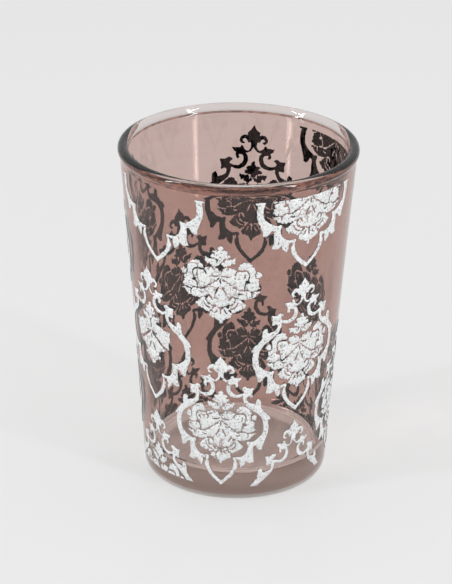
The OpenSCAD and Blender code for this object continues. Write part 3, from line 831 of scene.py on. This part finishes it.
def floor_material():
    """A plain pale studio floor that keeps the shadow of the glass, with painted shade under the glass
    where its glow fades out.
    """
    material, nodes, links, shader, output = new_material("pale_floor")
    colour = add_pattern(nodes, links, FLOOR_NOISE, FLOOR_COLOURS)
    links.new(colour, shader.inputs["Base Color"])
    shader.inputs["Roughness"].default_value = FLOOR_ROUGHNESS
    shader.inputs["Specular IOR Level"].default_value = FLOOR_SPECULAR
    lit = nodes.new("ShaderNodeEmission")
    lit.inputs["Color"].default_value = (FLOOR_LEVEL, FLOOR_LEVEL, FLOOR_LEVEL, 1)
    mix = nodes.new("ShaderNodeMixShader")
    links.new(add_lit_share(nodes, links), mix.inputs["Fac"])
    links.new(shader.outputs["BSDF"], mix.inputs[1])
    links.new(lit.outputs["Emission"], mix.inputs[2])
    links.new(mix.outputs["Shader"], output.inputs["Surface"])
    return material


def make_floor():
    """A wide floor under the glass."""
    half = FLOOR_HALF_W
    corners = [(-half, -half, 0), (half, -half, 0), (half, half, 0), (-half, half, 0)]
    floor = make_mesh("floor", corners, [(0, 1, 2, 3)], [0], [floor_material()])


def make_camera():
    """The photograph's viewpoint."""
    data = bpy.data.cameras.new("camera")
    data.lens = CAMERA_LENS
    data.clip_start = CAMERA_NEAR * MM
    camera = bpy.data.objects.new("camera", data)
    turn = Matrix.Rotation(math.radians(90 - CAMERA_ELEVATION), 4, "X")
    roll = Matrix.Rotation(math.radians(CAMERA_ROLL), 4, "Z")
    away = Vector((CAMERA_RIGHT, CAMERA_UP, CAMERA_BACK)) * MM
    camera.matrix_world = turn @ roll @ Matrix.Translation(away)
    bpy.context.scene.collection.objects.link(camera)
    bpy.context.scene.camera = camera


def make_lamp(name, width, height, radiance, place, aim):
    """An area lamp, equally bright all over its face, that looks from a place towards an aim."""
    data = bpy.data.lights.new(name, "AREA")
    data.shape = "RECTANGLE"
    data.size = width * MM
    data.size_y = height * MM
    data.energy = radiance * math.pi * data.size * data.size_y
    lamp = bpy.data.objects.new(name, data)
    turn = (place - aim).to_track_quat("Z", "Y").to_matrix().to_4x4()
    lamp.matrix_world = Matrix.Translation(place * MM) @ turn
    bpy.context.scene.collection.objects.link(lamp)
    return lamp


def make_strip(name, azimuth):
    """A tall soft box that faces the glass."""
    a = math.radians(azimuth)
    e = math.radians(STRIP_ELEVATION)
    away = Vector((math.sin(a) * math.cos(e), -math.cos(a) * math.cos(e), math.sin(e)))
    aim = Vector((0, 0, STRIP_AIM_Z))
    make_lamp(name, STRIP_W, STRIP_H, STRIP_RADIANCE, aim + away * STRIP_DISTANCE, aim)


def make_low_strip(name, x, y, width, radiance):
    """A small upright strip near the floor that faces the glass."""
    place = Vector((x, y, (LOW_STRIP_FOOT_Z + LOW_STRIP_TOP_Z) / 2))
    height = LOW_STRIP_TOP_Z - LOW_STRIP_FOOT_Z
    lamp = make_lamp(name, width, height, radiance, place, Vector(LOW_STRIP_AIM))
    lamp.data.spread = math.radians(LOW_STRIP_SPREAD)


def make_world():
    """A pale studio round the glass, brightest overhead."""
    world = bpy.data.worlds.new("studio")
    world.use_nodes = True
    bpy.context.scene.world = world
    nodes = world.node_tree.nodes
    links = world.node_tree.links
    where = nodes.new("ShaderNodeTexCoord")
    split = nodes.new("ShaderNodeSeparateXYZ")
    links.new(where.outputs["Generated"], split.inputs["Vector"])
    background = nodes["Background"]
    links.new(add_ramp(nodes, links, split.outputs["Z"], STUDIO_LEVELS), background.inputs["Color"])
    background.inputs["Strength"].default_value = STUDIO_STRENGTH


frame_silver = silver_material("fired_silver", FRAME_GAP_SHARE)
leaf_silver = silver_material("fired_silver_leaves", LEAF_GAP_SHARE)
underprint = underprint_material()

glass = make_glass(glass_material())
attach(glass, "root")
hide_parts("glass_body", "lustre_coat")

# A place is a column, counted from the front to the right, and a part of one where it has slipped
last = COLUMNS - 1
even_places = [i - (COLUMN_SLIP_A / COLUMN_A if i == last - 1 else 0) for i in range(0, COLUMNS, 2)]
odd_places = list(range(1, COLUMNS, 2))
framed_places = [i for i in odd_places if i != FRAMELESS_PLACE]
top_places = [1, 3 - TOP_SLIP_A / COLUMN_A, last + TOP_SLIP_A / COLUMN_A]
base_toe_z = LOWER_TOE_Z + COLUMN_STEP_H - REPEAT_H
middle_toe_z = LOWER_TOE_Z + COLUMN_STEP_H
upper_toe_z = LOWER_TOE_Z + REPEAT_H
top_toe_z = middle_toe_z + REPEAT_H
ROWS = [
    ("base_row_frames", base_toe_z, [(frame_outlines, odd_places)]),
    ("base_row_bouquets", base_toe_z, [(bouquet_outlines, odd_places[1:])]),
    ("lower_row_frames", LOWER_TOE_Z, [(frame_outlines, even_places)]),
    ("lower_row_bouquets", LOWER_TOE_Z, [(bouquet_outlines, even_places)]),
    ("middle_row_frames", middle_toe_z, [(frame_outlines, framed_places)]),
    ("middle_row_bouquets", middle_toe_z,
     [(bouquet_outlines, odd_places[:-1]), (small_bouquet_outlines, [last])]),
    ("upper_row_frames", upper_toe_z, [(frame_outlines, even_places[2:])]),
    ("upper_row_bouquets", upper_toe_z, [(bouquet_outlines, even_places[:1] + even_places[2:])]),
    ("top_row_frames", top_toe_z, [(frame_outlines, top_places)]),
    ("top_row_bouquets", top_toe_z, [(bouquet_outlines, top_places[:2])]),
]
noise.seed_set(NOISE_SEED)
for node, toe_z, groups in ROWS:
    silver = frame_silver if node.endswith("frames") else leaf_silver
    row = make_row("silver_" + node, toe_z, groups, silver, underprint)
    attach(row, "root")
    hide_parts(node)

bpy.context.scene.view_settings.view_transform = "Standard"
make_floor()
make_camera()
make_world()
for name, azimuth in STRIP_AZIMUTHS.items():
    make_strip(name, azimuth)
for name, x, y, width, radiance in LOW_STRIPS:
    make_low_strip(name, x, y, width, radiance)
